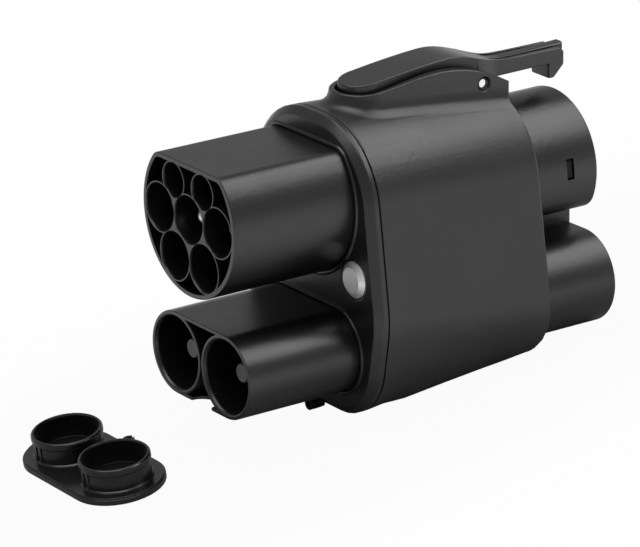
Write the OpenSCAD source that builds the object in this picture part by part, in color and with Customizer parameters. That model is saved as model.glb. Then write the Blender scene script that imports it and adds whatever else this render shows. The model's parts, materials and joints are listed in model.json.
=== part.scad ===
// Adapter that joins a charging plug to a car's charging inlet, with its loose dust cap.
// Every piece is drawn in the plug frame: X across, Y from the front mouth to the rear, Z up,
// with the origin in the centre of the earth tube at the front mouth. The at_rest() module then
// lays the adapter down on its sloping belly and its rear lower edge.

/* [Power socket, front top] */
// Outer radius of the round power socket
ac_r = 24.8; // [24:0.1:26]
// Height of its flat top above the earth tube
ac_flat = 17.6; // [17:0.1:19]
// Radius of the two corners beside the flat top
ac_corner = 5; // [3:0.5:8]
// Wall of the outer shroud
ac_wall = 1.5; // [1.2:0.1:2]
// Centre distance of neighbouring large tubes
core_pitch = 15.6; // [15.2:0.1:15.8]
// Bore radius of the five large tubes
core_bore_r = 7.3; // [6.6:0.1:7.4]
// Bore radius of the two signal tubes
signal_bore_r = 5.15; // [4.6:0.05:5.2]
// Height of the signal tubes above the earth tube
signal_rise = 10.7; // [10.4:0.1:11]
// Wall of each tube
tube_wall = 0.9; // [0.8:0.1:1.2]
// Lead-in chamfer at each tube's mouth
lead_in = 0.45; // [0.2:0.05:0.6]
// Depth of the tubes from the mouth to their floor
ac_depth = 44; // [40:1:46]
// Thickness of the floor that holds the pins
floor_t = 4; // [3:0.5:5]

/* [High-voltage socket, front bottom] */
// Half of the distance between the two contacts
dc_half = 13.5; // [13.3:0.1:14]
// Drop of the contacts below the earth tube
dc_drop = 47.6; // [46:0.1:48]
// Bore radius of each tube
dc_bore_r = 11.4; // [10.8:0.1:11.6]
// Wall round the two tubes
dc_wall = 2; // [1.8:0.1:2.2]
// Set-back of this socket behind the power socket's mouth
dc_setback = 3.3; // [1:0.1:5]
// Half width of the round notch in the lower web
notch_r = 5.3; // [4:0.1:6]

/* [Pins] */
// Radius of the power pins
power_pin_r = 3; // [2.5:0.1:3.2]
// Radius of the signal pins
signal_pin_r = 1.5; // [1.2:0.1:1.8]
// Radius of the high-voltage pins
dc_pin_r = 4; // [3.8:0.05:4.2]
// Depth of the earth pin's tip behind its mouth
earth_tip = 4; // [3:0.5:6]
// Depth of the line and neutral tips behind their mouths
line_tip = 5.5; // [4:0.5:8]
// Depth of the signal tips behind their mouths
signal_tip = 12; // [9:0.5:16]
// Depth of the high-voltage tips behind their mouths
dc_tip = 6; // [5:0.5:9]
// Radius of the insulating nose on a high-voltage pin
dc_nose_r = 2.85; // [2.4:0.05:3.2]
// Length of that nose
dc_nose_len = 4; // [3:0.5:6]
// Radius of the insulating nose on a line or neutral pin
line_nose_r = 1.7; // [1.4:0.1:2]

/* [Front cover] */
// Distance of the cover's face behind the mouth
cover_y = 44.5; // [42:0.5:47]
// Thickness of the cover
cover_t = 3.9; // [3.6:0.1:4.5]
// Width of the slope round the cover's edge
cover_edge = 2.3; // [1.5:0.1:2.8]
// Width of the raised collar round each socket
collar_w = 1.2; // [0.8:0.1:1.6]
// Height of the raised collars
collar_h = 0.7; // [0.4:0.1:1]
// Thickness of the seal between cover and housing
seal_t = 0.6; // [0.4:0.1:1]
// Depth of the lip that holds the cover in the housing
spigot_len = 3; // [2:0.5:4]
// Thickness of the socket flanges
flange_t = 2.6; // [2:0.2:3]
// Gap between the socket flanges and the cover's lip
flange_gap = 0.2; // [0.1:0.05:0.4]
// Outer radius of the lug for the cap's strap
lug_r = 2; // [1.6:0.1:2.4]
// Bore radius of the lug
lug_bore_r = 1.2; // [0.9:0.1:1.4]

/* [Housing] */
// Distance of the housing's rear face behind the mouth
housing_end = 112; // [108:1:118]
// Wall of the housing
wall = 2.6; // [2.2:0.1:3]
// Thickness of the housing's rear wall
rear_wall_t = 3; // [2.5:0.5:4]
// Depth of the belly below the earth tube
belly_drop = 68.8; // [68:0.2:72]
// Distance behind the mouth at which the belly starts to rise
belly_end = 64; // [62:1:70]
// Extra radius of the lower corners half way along the housing
corner_swell = 4; // [0:0.5:5]
// Radius of the shoulders at the front
shoulder_r = 26.9; // [26:0.1:28]
// Half width of the housing at its waist
waist_half = 36; // [35.6:0.1:37]

/* [Rear plug] */
// Distance of the plug's rear end behind the mouth
plug_end = 140.3; // [136:0.1:144]
// Outer radius of the round plug
plug_r = 22.6; // [22:0.1:23]
// Drop of the round plug's centre below the earth tube
plug_drop = 7.1; // [6.5:0.1:7.5]
// Height of the plug's flat underside below its centre
plug_flat = 13.1; // [12.5:0.1:14]
// Radius of the corners beside that flat
plug_corner = 8; // [6:0.5:9]
// Wall of the plug
plug_wall = 2.4; // [2:0.1:2.8]
// Drop of the lower plug's centre below the earth tube
low_drop = 42.4; // [42:0.1:43.5]
// End radius of the lower plug
low_r = 15.2; // [14.8:0.1:15.6]
// Half length of the straight sides of the lower plug
low_half = 17.2; // [16.8:0.1:17.6]
// Width of the web between the two plugs
web_w = 18; // [14:1:22]
// Depth of the contact carriers behind the plug's end
carrier_recess = 3.8; // [3:0.1:5]
// Length of the snap window in the round plug
window_len = 2.8; // [2.4:0.1:3.4]
// Height of the snap window
window_h = 6.7; // [5:0.1:8]
// Distance of the snap window from the plug's end
window_back = 9.3; // [8:0.1:12]

/* [Latch lever] */
// Distance of the pivot behind the mouth
pivot_y = 102.6; // [101:0.2:105]
// Height of the pivot above the earth tube
pivot_z = 26.8; // [26.4:0.1:27]
// Radius of the pivot pin
pivot_r = 1.3; // [1.1:0.1:1.5]
// Centre of the pad's round front end, behind the mouth
pad_y = 65; // [64:0.5:67]
// Half width of the lever's pad
pad_half = 7.5; // [7:0.1:7.8]
// Half width of the lever's arm
arm_half = 4.6; // [4:0.1:5]
// Height of the pad's top at its front end
pad_top = 32.2; // [32:0.1:33]
// Height of the lever's hump
hump_top = 35.7; // [35.4:0.1:36.4]
// Height of the arm's top
arm_top = 30; // [29.6:0.1:30.4]
// Thickness of the arm
arm_t = 4.8; // [4.2:0.1:4.9]
// Drop of the hook below the arm
hook_drop = 4.8; // [4:0.1:5.4]
// Gap between the lever and the wall round it
lever_gap = 0.8; // [0.6:0.1:1]
// Half width of that wall at its front end
tower_front = 10.2; // [9.9:0.1:10.6]
// Half width of that wall at its rear end
tower_rear = 13.8; // [13:0.1:14.4]

/* [Push button] */
// Distance of the button to the side of the earth tube
button_x = 23.3; // [23.2:0.1:23.6]
// Drop of the button below the earth tube
button_drop = 22.3; // [22:0.1:22.8]
// Radius of the button
button_r = 5.8; // [5:0.1:5.9]
// Radius of the button's flat face
button_face_r = 4.1; // [3.5:0.1:4.6]
// Height of the button's face in front of the cover
button_proud = 1.1; // [0.8:0.1:1.4]
// Travel of the button
button_travel = 1.2; // [0.8:0.1:1.4]

/* [Dust cap] */
// Place of the cap's centre across the adapter
cap_x = -19.2; // [-34:0.1:-18]
// Distance of the cap's centre in front of the housing's belly line
cap_ahead = 89; // [84:0.2:120]
// Radius of the plate's round ends
cap_plate_r = 15; // [14.4:0.1:16]
// Thickness of the plate
cap_plate_t = 2.2; // [1.4:0.1:2.4]
// Outer radius of each cup
cup_r = 11; // [10.4:0.1:11]
// Wall of each cup
cup_wall = 0.9; // [0.8:0.1:1.2]
// Height of the cups' rims above the table
cup_h = 9.8; // [7.8:0.1:12]

/* [Hidden] */
$fn = 64;

// Running and assembly gaps
slip = 0.05;
seat_gap = 0.15;
eps = 0.01;

// Slope round the housing's rear edge
edge_t = 0.8;

// Stations along the plug axis
cover_back = cover_y + cover_t;
housing_y = cover_back + seal_t;
rear_wall_y = housing_end - rear_wall_t;
flange_back = cover_back + flange_t;
ac_floor_y = ac_depth;
dc_floor_y = cover_back - 0.4;
board_y = 78;
board_t = 1.6;
board_w = 41;
carrier_y = plug_end - carrier_recess;
rear_flange_y = rear_wall_y - flange_t;

// The resting plane passes through the belly line and the lower plug's rear edge
low_bottom = low_drop + low_r;
rest_slope = (belly_drop - low_bottom) / (plug_end - belly_end);
rest_pitch = atan(rest_slope);
rest_lift = belly_end * sin(rest_pitch) + belly_drop * cos(rest_pitch);
belly_line_y = belly_end * cos(rest_pitch) - belly_drop * sin(rest_pitch);

// Extents of the whole on the table, for the origin under its middle
arm_end = plug_end;
arm_tail = 2.1;
tail_rise = 0.8;
tail_edge = 0.4;
cap_y = belly_line_y - cap_ahead;
low_x = cap_x - dc_half - cap_plate_r;
high_x = waist_half;
low_y = cap_y - cap_plate_r;
high_y = (arm_end + arm_tail) * cos(rest_pitch) + (arm_top + tail_rise - tail_edge) * sin(rest_pitch);
mid_x = (low_x + high_x) / 2;
mid_y = (low_y + high_y) / 2;

// Arcs of the housing's outline: centre across, centre height, radius
front_arcs = [
    [4.8, 25.6 - shoulder_r, shoulder_r],
    [0, -34, waist_half],
    [13, 20.6 - belly_drop, 20.6]
];
rear_belly = belly_drop - (housing_end - belly_end) * rest_slope;
rear_arcs = [
    [2.4, 22.9 - 27.3, 27.3],
    [waist_half - 19.1, -42.8, 19],
    [18, 15.6 - rear_belly, 15.6]
];

// Places of the contacts, in the plane across the plug axis
signal_x = core_pitch / 2;
lower_z = -core_pitch * sqrt(3) / 2;
large_tubes = [
    [0, 0], [-core_pitch, 0], [core_pitch, 0], [-core_pitch / 2, lower_z], [core_pitch / 2, lower_z]
];
signal_tubes = [[-signal_x, signal_rise], [signal_x, signal_rise]];
plug_line_at = [[-7.85, 6.8 - plug_drop], [7.85, 6.8 - plug_drop], [0, -6.2 - plug_drop]];
plug_signal_at = [[-10.65, -5.6 - plug_drop], [10.65, -5.6 - plug_drop]];
power_sleeve_r = 2.9;
power_sleeve_bore = 1.85;
signal_sleeve_r = 2;
signal_sleeve_bore = 1;
dc_sleeve_r = 6.2;
dc_sleeve_bore = dc_pin_r + slip;
dc_lip_r = 4.7;
dc_pin_end = 60;
dc_sleeve_y = 100;
board_posts = [[-17, 8.6], [17, 8.6], [-17, -14.4], [17, -14.4]];
post_r = 2.3;
screw_r = 1.15;
screw_head_r = 1.9;
screw_head_t = 1.4;

// The two sockets share the cover's inner field, parted just above the lower socket
lip_inset = wall + 1.6;
dc_top_z = dc_bore_r + dc_wall - dc_drop;
part_z = dc_top_z + 0.6;
upper_screw_z = -(ac_r - dc_top_z) / 2 + 0.6;
flange_screw_at = [
    [-14, upper_screw_z], [14, upper_screw_z],
    [-dc_half - 12.1, 11.2 - dc_drop], [dc_half + 12.1, 11.2 - dc_drop]
];

// Screws that hold the rear plug sit beside its web and above its round barrel
rear_screw_at = [
    [-24, -plug_drop - 17.5], [24, -plug_drop - 17.5], [0, plug_r - plug_drop + 2.4]
];

// Carries an (x, z) outline from one station to the next along the plug axis
module slab(y0, y1) {
    translate([0, y1, 0]) rotate([90, 0, 0]) linear_extrude(y1 - y0) children();
}

// Round bar along the plug axis, with its front radius first
module bar(at, y0, y1, r, rear_r = -1) {
    translate([at[0], y1, at[1]]) rotate([90, 0, 0])
        cylinder(h = y1 - y0, r1 = rear_r < 0 ? r : rear_r, r2 = r);
}

// Lays the adapter on the table, nose up, with the origin under the middle of the whole
module at_rest() {
    translate([-mid_x, -mid_y, rest_lift]) rotate([-rest_pitch, 0, 0]) children();
}

// Circle with one flat side at the given height and rounded corners beside it
module flat_round(r, flat, corner) {
    corner_x = sqrt(pow(r - corner, 2) - pow(flat - corner, 2));
    chord_z = r * (flat - corner) / (r - corner);
    intersection() {
        circle(r);
        translate([-2 * r, -2 * r]) square([4 * r, 2 * r + chord_z]);
    }
    for (side = [-1, 1]) translate([side * corner_x, flat - corner]) circle(corner);
    translate([-corner_x, 0]) square([2 * corner_x, flat]);
}

// Two round ends joined by straight sides
module stadium(half, r) {
    for (side = [-1, 1]) translate([side * half, 0]) circle(r);
    translate([-half, -r]) square([2 * half, 2 * r]);
}

// The same outline in short chords, for holes in the lofted shells
module flat_round_chords(r, flat, corner) {
    corner_x = sqrt(pow(r - corner, 2) - pow(flat - corner, 2));
    meet = atan2(flat - corner, corner_x);
    half = concat(arc_points([corner_x, flat - corner, corner], 0, 90, meet, 7),
                  [for (i = [1:23]) let (a = mix(meet, -90, i / 23)) [r * cos(a), r * sin(a)]]);
    polygon(concat(half, [for (i = [len(half) - 2:-1:0]) [-half[i][0], half[i][1]]]));
}

module ac_outline(grow) {
    flat_round(ac_r + grow, ac_flat + grow, ac_corner + grow);
}

module ac_hole(grow) {
    flat_round_chords(ac_r + grow, ac_flat + grow, ac_corner + grow);
}

module dc_outline(grow) {
    translate([0, -dc_drop]) stadium(dc_half, dc_bore_r + dc_wall + grow);
}

module plug_outline(grow) {
    translate([0, -plug_drop]) mirror([0, 1])
        flat_round(plug_r + grow, plug_flat + grow, plug_corner + grow);
}

module plug_hole(grow) {
    translate([0, -plug_drop]) mirror([0, 1])
        flat_round_chords(plug_r + grow, plug_flat + grow, plug_corner + grow);
}

module low_outline(grow) {
    translate([0, -low_drop]) stadium(low_half, low_r + grow);
}

// Angle of the outward normal where two arcs of the outline share a tangent
function tangent_angle(a, b) =
    let (d = [a[0] - b[0], a[1] - b[1]], ratio = (b[2] - a[2]) / norm(d))
    atan2(d[1], d[0]) - acos(max(-1, min(1, ratio)));

function mix(a, b, t) = a + (b - a) * t;

// Arcs of the housing at a station, with its belly on the resting plane behind the belly line
function arcs_at(y) =
    let (t = max(0, (y - housing_y) / (housing_end - housing_y)),
         base = mix(front_arcs[2], rear_arcs[2], t),
         swell = corner_swell * sin(180 * sqrt(min(1, t))),
         low = [base[0] - swell * 0.8, base[1], base[2] + swell],
         belly = -belly_drop + max(0, y - belly_end) * rest_slope)
    [mix(front_arcs[0], rear_arcs[0], t), mix(front_arcs[1], rear_arcs[1], t),
     [low[0], belly + low[2], low[2]]];

function arc_points(arc, inset, from, to, count) = [
    for (i = [0:count - 1])
        let (a = mix(from, to, i / (count - 1)))
        [arc[0] + (arc[2] - inset) * cos(a), arc[1] + (arc[2] - inset) * sin(a)]
];

// Right half of the outline, from the top to the bottom
function half_outline(arcs, inset) =
    let (upper = tangent_angle(arcs[0], arcs[1]), lower = tangent_angle(arcs[1], arcs[2]))
    concat(arc_points(arcs[0], inset, 90, upper, 11),
           arc_points(arcs[1], inset, upper, lower, 5),
           arc_points(arcs[2], inset, lower, -90, 9));

function reversed(list) = [for (i = [len(list) - 1:-1:0]) list[i]];

function outline_at(y, inset) =
    let (half = half_outline(arcs_at(y), inset))
    concat([for (p = half) [p[0], y, p[1]]], [for (p = reversed(half)) [-p[0], y, p[1]]]);

// Flat outline of the housing at a station, moved inwards
module field(y, inset) {
    polygon([for (p = outline_at(y, inset)) [p[0], p[2]]]);
}

// Skin through a list of stations, each with its place and its inset from the outline
module loft(stations) {
    rings = [for (s = stations) outline_at(s[0], s[1])];
    n = len(rings[0]);
    last = len(rings) - 1;
    walls = [
        for (k = [0:last - 1])
            for (i = [0:n - 1])
                let (j = (i + 1) % n, a = k * n, b = (k + 1) * n)
                each [[a + i, b + i, b + j], [a + i, b + j, a + j]]
    ];
    polyhedron(
        points = [for (ring = rings) each ring],
        faces = concat([[for (i = [0:n - 1]) i]], walls, [[for (i = [n - 1:-1:0]) last * n + i]])
    );
}

// Helical spring along +Z, swept from a round wire
module coil(r, wire_r, height, turns) {
    steps = 14;
    sides = 6;
    count = turns * steps;
    rise = height - 2 * wire_r;
    points = [
        for (i = [0:count])
            let (a = 360 * i / steps, z = wire_r + rise * i / count)
            for (k = [0:sides - 1])
                let (b = 360 * k / sides, q = r + wire_r * cos(b))
                [q * cos(a), q * sin(a), z + wire_r * sin(b)]
    ];
    sweep = [
        for (i = [0:count - 1])
            for (k = [0:sides - 1])
                let (m = (k + 1) % sides, a = i * sides, b = (i + 1) * sides)
                each [[a + k, a + m, b + m], [a + k, b + m, b + k]]
    ];
    polyhedron(
        points = points,
        faces = concat([[for (k = [sides - 1:-1:0]) k]], sweep,
                       [[for (k = [0:sides - 1]) count * sides + k]])
    );
}

// Height of the wall beside the lever, seen from the side
tower_low = 30;
tower_crest = 33.3;
crest_y = 88;
crest_start = 58;
tower_fall = 7.2;

function tower_z(y) =
    y < crest_start ? tower_low
    : y < crest_y ? tower_low + (tower_crest - tower_low)
        * (1 - cos(180 * (y - crest_start) / (crest_y - crest_start))) / 2
    : tower_crest - tower_fall * pow((y - crest_y) / (housing_end - crest_y), 2);

// Half width of the wall round the lever
function tower_half(y) = mix(tower_front, tower_rear, (y - pad_y) / (housing_end - pad_y));

module tower_plan() {
    translate([0, pad_y]) circle(tower_front);
    polygon([[-tower_front, pad_y], [tower_front, pad_y],
             [tower_rear, housing_end], [-tower_rear, housing_end]]);
}

module pocket_plan() {
    r = pad_half + lever_gap;
    translate([0, pad_y]) circle(r);
    translate([-r, pad_y]) square([2 * r, housing_end - pad_y + 1]);
}

// Wall that stands round the lever on the housing's roof, closed at the front, open at the rear
module tower() {
    base_z = 18;
    step = 3;
    front = pad_y - tower_front - 1;
    rear = housing_end - edge_t / 2;
    crest = [for (y = [front:step:rear - 1]) [y, tower_z(y)]];
    side = concat([[front, base_z]], crest, [[rear, tower_z(rear)], [rear, base_z]]);
    intersection() {
        linear_extrude(hump_top + 4) difference() {
            tower_plan();
            pocket_plan();
        }
        rotate([90, 0, 90]) translate([0, 0, -tower_rear - 1])
            linear_extrude(2 * tower_rear + 2) polygon(side);
    }
}

// Swept fillet where the wall round the lever meets the roof
module tower_flare() {
    reach = 4.2;
    rows = 5;
    turn = 12;
    sink = 1.4;
    bury = 0.12;
    front_r = tower_front - bury;
    function roof_z(x, y) =
        let (arc = arcs_at(y)[0], dx = max(0, abs(x) - arc[0])) arc[1] + sqrt(pow(arc[2], 2) - dx * dx);
    side_rows = 8;
    function along(t) = mix(housing_end - 1.6 * edge_t, pad_y, t);
    path = concat(
        [for (i = [0:side_rows - 1]) let (y = along(i / side_rows)) [tower_half(y) - bury, y, 0]],
        [for (i = [0:turn]) let (a = -180 * i / turn)
            [front_r * cos(a), pad_y + front_r * sin(a), a]],
        [for (i = [side_rows - 1:-1:0]) let (y = along(i / side_rows)) [bury - tower_half(y), y, -180]]
    );
    function fillet_z(t) = reach * (1 - sqrt(1 - pow(1 - t, 2)));
    function spot(p, t, dz) =
        let (x = p[0] + reach * t * cos(p[2]), y = p[1] + reach * t * sin(p[2]))
        [x, y, roof_z(x, y) + dz];
    function strip(p) = concat(
        [for (i = [0:rows]) let (t = i / rows) spot(p, t, i == rows ? -0.08 : fillet_z(t))],
        [spot(p, 1, -sink), spot(p, -0.15, -sink), spot(p, -0.15, reach - 0.1)]
    );
    rings = [for (p = path) strip(p)];
    n = rows + 4;
    last = len(rings) - 1;
    walls = [
        for (k = [0:last - 1])
            for (i = [0:n - 1])
                let (j = (i + 1) % n, a = k * n, b = (k + 1) * n)
                each [[a + i, b + j, b + i], [a + i, a + j, b + j]]
    ];
    corner = rows + 2;
    function cap(k, flip) = [
        for (i = [0:n - 1])
            let (j = (i + 1) % n)
            if (i != corner && j != corner) [k + corner, k + (flip ? j : i), k + (flip ? i : j)]
    ];
    polyhedron(
        points = [for (ring = rings) each ring],
        faces = concat(cap(0, true), walls, cap(last * n, false))
    );
}

module pivot_hole(r, half) {
    translate([-half, pivot_y, pivot_z]) rotate([0, 90, 0]) cylinder(h = 2 * half, r = r);
}

// Moulded housing with its roof wall for the lever
module main_housing() {
    ear_half = tower_half(pivot_y);
    counterbore = 1;
    color("#202022") at_rest() difference() {
        union() {
            loft([[housing_y, 0], [56, 0], [64, 0], [belly_end, 0], [80, 0], [88, 0], [96, 0], [104, 0],
                  [housing_end - edge_t, 0], [housing_end, edge_t]]);
            tower();
            tower_flare();
        }
        loft([[housing_y - 1, wall], [belly_end, wall], [90, wall], [rear_wall_y, wall]]);
        slab(rear_wall_y - 1, housing_end + 1) {
            plug_hole(seat_gap);
            low_outline(seat_gap);
            translate([-web_w / 2 - seat_gap, -low_drop]) square([web_w + 2 * seat_gap, low_drop - plug_drop]);
        }
        for (at = rear_screw_at) bar(at, rear_wall_y - 1, housing_end - 1.2, screw_r + slip);
        pivot_hole(pivot_r + slip / 2, ear_half + 3);
        for (side = [-1, 1]) translate([side * (ear_half - counterbore / 2 + 1.5), pivot_y, pivot_z])
            rotate([0, 90, 0]) cylinder(h = counterbore + 3, r = pivot_r + 0.75, center = true);
    }
}

// Front cover with its sloping edge, socket collars, button seat and strap lug
module front_cover() {
    ring_r = button_r + 0.85;
    ring_depth = 0.5;
    button_at = [button_x, -button_drop];
    lug_at = [0, -belly_drop - 1];
    color("#1c1c1e") at_rest() difference() {
        union() {
            loft([[cover_y, cover_edge], [cover_y + cover_edge, 0], [cover_back, 0]]);
            difference() {
                loft([[cover_back - 1, wall + seat_gap], [cover_back + spigot_len, wall + seat_gap]]);
                loft([[cover_back - 2, lip_inset], [cover_back + spigot_len + 1, lip_inset]]);
            }
            slab(cover_y - collar_h, cover_y + eps) {
                ac_hole(collar_w);
                dc_outline(collar_w);
            }
            bar(lug_at, cover_y - 1.1, cover_back, lug_r);
            slab(cover_y, cover_back) translate([-1, -belly_drop - 1]) square([2, 2]);
        }
        slab(cover_y - 2, cover_back + 1) {
            ac_hole(seat_gap);
            dc_outline(seat_gap);
        }
        bar(button_at, cover_y - 1, cover_back + 1, button_r + 0.2);
        bar(button_at, cover_back, cover_back + spigot_len + 1, switch_r + 0.3);
        bar(button_at, cover_y - 1, cover_y + ring_depth, ring_r);
        bar(lug_at, cover_y - 2, cover_back - 0.8, lug_bore_r);
        for (at = flange_screw_at) bar(at, cover_y + 0.9, cover_back + 1, screw_r + slip);
    }
}

// Rubber seal in the seam between cover and housing
module cover_seal() {
    color("#101012") at_rest() difference() {
        loft([[cover_back, 0.6], [housing_y, 0.6]]);
        loft([[cover_back - 1, wall], [housing_y + 1, wall]]);
    }
}

module screw_holes(y0, y1) {
    for (at = flange_screw_at) bar(at, y0, y1, screw_r + 0.3);
}

// Clearance for the switch behind the button
module switch_space() {
    translate([button_x, -button_drop]) circle(switch_r + 0.3);
}

// Power socket: outer shroud, seven tubes that run into each other, pin floor, flange and board posts
module ac_socket() {
    web = [[-core_pitch, 0], [-core_pitch / 2, lower_z], [core_pitch / 2, lower_z], [core_pitch, 0],
           signal_tubes[1], [0, 0], signal_tubes[0]];
    color("#1a1a1c") at_rest() difference() {
        union() {
            slab(0, ac_floor_y + eps) difference() {
                ac_outline(0);
                difference() {
                    ac_outline(-ac_wall);
                    for (at = large_tubes) translate(at) circle(core_bore_r + tube_wall);
                    for (at = signal_tubes) translate(at) circle(signal_bore_r + tube_wall);
                    polygon(web);
                }
            }
            slab(ac_floor_y, ac_floor_y + floor_t + 1) ac_outline(0);
            slab(cover_back, flange_back) difference() {
                field(cover_back, lip_inset + flange_gap);
                translate([-2 * ac_r, part_z - 4 * ac_r]) square([4 * ac_r, 4 * ac_r]);
                switch_space();
            }
            for (at = board_posts) bar(at, flange_back - eps, board_y, post_r);
        }
        for (at = large_tubes) {
            bar(at, -1, ac_floor_y, core_bore_r);
            bar(at, 0, 2 * lead_in, core_bore_r + lead_in, core_bore_r);
        }
        for (at = signal_tubes) {
            bar(at, -1, ac_floor_y, signal_bore_r);
            bar(at, 0, 2 * lead_in, signal_bore_r + lead_in, signal_bore_r);
        }
        for (i = [0:2]) bar(large_tubes[i], ac_floor_y - 1, board_y, power_pin_r + slip);
        for (at = signal_tubes) bar(at, ac_floor_y - 1, board_y, signal_pin_r + slip);
        for (at = board_posts) bar(at, board_y - 7, board_y + 1, screw_r - 0.3);
        screw_holes(cover_back - 1, flange_back + 1);
    }
}

// High-voltage socket: two tubes side by side in one shell, open between them, notched below
module dc_socket() {
    tube_r = dc_bore_r + dc_wall;
    web_t = 1.2;
    color("#1a1a1c") at_rest() difference() {
        union() {
            slab(dc_setback, flange_back) dc_outline(0);
            slab(cover_back, flange_back) difference() {
                field(cover_back, lip_inset + flange_gap);
                translate([-2 * ac_r, part_z - 2 * flange_gap]) square([4 * ac_r, 4 * ac_r]);
            }
        }
        for (side = [-1, 1]) {
            bar([side * dc_half, -dc_drop], dc_setback - 1, dc_floor_y - floor_t, dc_bore_r);
            bar([side * dc_half, -dc_drop], dc_setback, dc_setback + 1.4, dc_bore_r + 0.7, dc_bore_r);
            bar([side * dc_half, -dc_drop], dc_setback, flange_back + 1, dc_pin_r + slip);
        }
        slab(dc_setback - 1, dc_floor_y - floor_t) translate([0, -dc_drop]) difference() {
            translate([-dc_half, web_t - tube_r]) square([2 * dc_half, 2 * (tube_r - web_t)]);
            for (side = [-1, 1]) translate([side * dc_half, 0]) circle(tube_r - 0.1);
        }
        translate([0, dc_setback, -dc_drop - tube_r - 1]) cylinder(h = web_t + 2, r = notch_r);
        screw_holes(cover_back - 1, flange_back + 1);
    }
}

// Solid pin with a rounded tip and a plain tail that stands on the board
module straight_pin(at, tip_y, r, tail_y) {
    color("#c9c6bd") at_rest() translate([at[0], 0, at[1]]) rotate([-90, 0, 0]) rotate_extrude() {
        translate([0, tip_y + r]) square([r, tail_y - tip_y - r]);
        intersection() {
            translate([0, tip_y]) square([r, r]);
            translate([0, tip_y + r]) circle(r);
        }
    }
}

// Power pin with a slim neck that carries an insulating nose
module capped_pin(at, tip_y, r, nose_r, nose_len, tail_y, shade) {
    color(shade) at_rest() {
        bar(at, tip_y + nose_len, tail_y, r);
        bar(at, tip_y + 1, tip_y + nose_len, nose_r * 0.5);
    }
}

// Insulating nose: a flat disc that widens to the pin behind it
module pin_nose(at, tip_y, r, nose_r, nose_len) {
    color("#8f9194") at_rest() difference() {
        bar(at, tip_y, tip_y + nose_len, nose_r, r);
        bar(at, tip_y + 1, tip_y + nose_len + 1, nose_r * 0.5);
    }
}

line_nose_len = 3;

module earth_pin() { straight_pin(large_tubes[0], earth_tip, power_pin_r, board_y); }

module line_pin() {
    capped_pin(large_tubes[2], line_tip, power_pin_r, line_nose_r, line_nose_len, board_y, "#c9c6bd");
}

module neutral_pin() {
    capped_pin(large_tubes[1], line_tip, power_pin_r, line_nose_r, line_nose_len, board_y, "#c9c6bd");
}

module pilot_pin() { straight_pin(signal_tubes[1], signal_tip, signal_pin_r, board_y); }

module proximity_pin() { straight_pin(signal_tubes[0], signal_tip, signal_pin_r, board_y); }

module line_pin_nose() {
    pin_nose(large_tubes[2], line_tip, power_pin_r, line_nose_r, line_nose_len);
}

module neutral_pin_nose() {
    pin_nose(large_tubes[1], line_tip, power_pin_r, line_nose_r, line_nose_len);
}

module dc_pin(side) {
    capped_pin([side * dc_half, -dc_drop], dc_setback + dc_tip, dc_pin_r, dc_nose_r, dc_nose_len,
               dc_pin_end, "#c9c6bd");
}

module dc_nose(side) {
    pin_nose([side * dc_half, -dc_drop], dc_setback + dc_tip, dc_pin_r, dc_nose_r, dc_nose_len);
}

// Flat copper bar that steps up from a front pin to the contact behind it
module dc_bar(side) {
    bar_w = 12;
    bar_t = 4;
    rise = dc_drop - low_drop;
    low = -dc_drop - bar_t / 2;
    bend = 76;
    run = 8;
    color("#b87333") at_rest() translate([side * dc_half - bar_w / 2, 0, 0]) rotate([90, 0, 90])
        linear_extrude(bar_w) polygon([
            [dc_pin_end, low], [bend, low], [bend + run, low + rise], [dc_sleeve_y, low + rise],
            [dc_sleeve_y, low + rise + bar_t], [bend + run - 1, low + rise + bar_t],
            [bend - 1, low + bar_t], [dc_pin_end, low + bar_t]
        ]);
}

// Spring contact sleeve that takes the inlet's high-voltage pin
module dc_contact(side) {
    at = [side * dc_half, -low_drop];
    color("#c9c6bd") at_rest() difference() {
        bar(at, dc_sleeve_y, carrier_y - 3.3, dc_sleeve_r);
        bar(at, dc_sleeve_y + 3, carrier_y, dc_sleeve_bore);
    }
}

module dc_plus_pin() { dc_pin(1); }
module dc_minus_pin() { dc_pin(-1); }
module dc_plus_nose() { dc_nose(1); }
module dc_minus_nose() { dc_nose(-1); }
module dc_plus_bar() { dc_bar(1); }
module dc_minus_bar() { dc_bar(-1); }
module dc_plus_contact() { dc_contact(1); }
module dc_minus_contact() { dc_contact(-1); }

// Pan-head screw whose head bears on a face at head_y and whose shank points the given way
module pan_screw(at, head_y, shank, way) {
    bar(at, min(head_y, head_y - way * screw_head_t), max(head_y, head_y - way * screw_head_t), screw_head_r);
    bar(at, min(head_y, head_y + way * shank), max(head_y, head_y + way * shank), screw_r);
}

module flange_screws() {
    color("#9a9da0") at_rest() for (at = flange_screw_at) pan_screw(at, flange_back, flange_t + 2.6, -1);
}

module board_screws() {
    color("#9a9da0") at_rest() for (at = board_posts) {
        bar(at, board_y + board_t, board_y + board_t + screw_head_t, screw_head_r - 0.2);
        bar(at, board_y - 5, board_y + board_t, screw_r - 0.35);
    }
}

// Board that links the front pins to the rear contacts
module link_board() {
    color("#1f5a35") at_rest() difference() {
        slab(board_y, board_y + board_t) translate([-board_w / 2, -19]) square([board_w, 31]);
        for (at = board_posts) bar(at, board_y - 1, board_y + board_t + 1, screw_r);
    }
}

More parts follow.
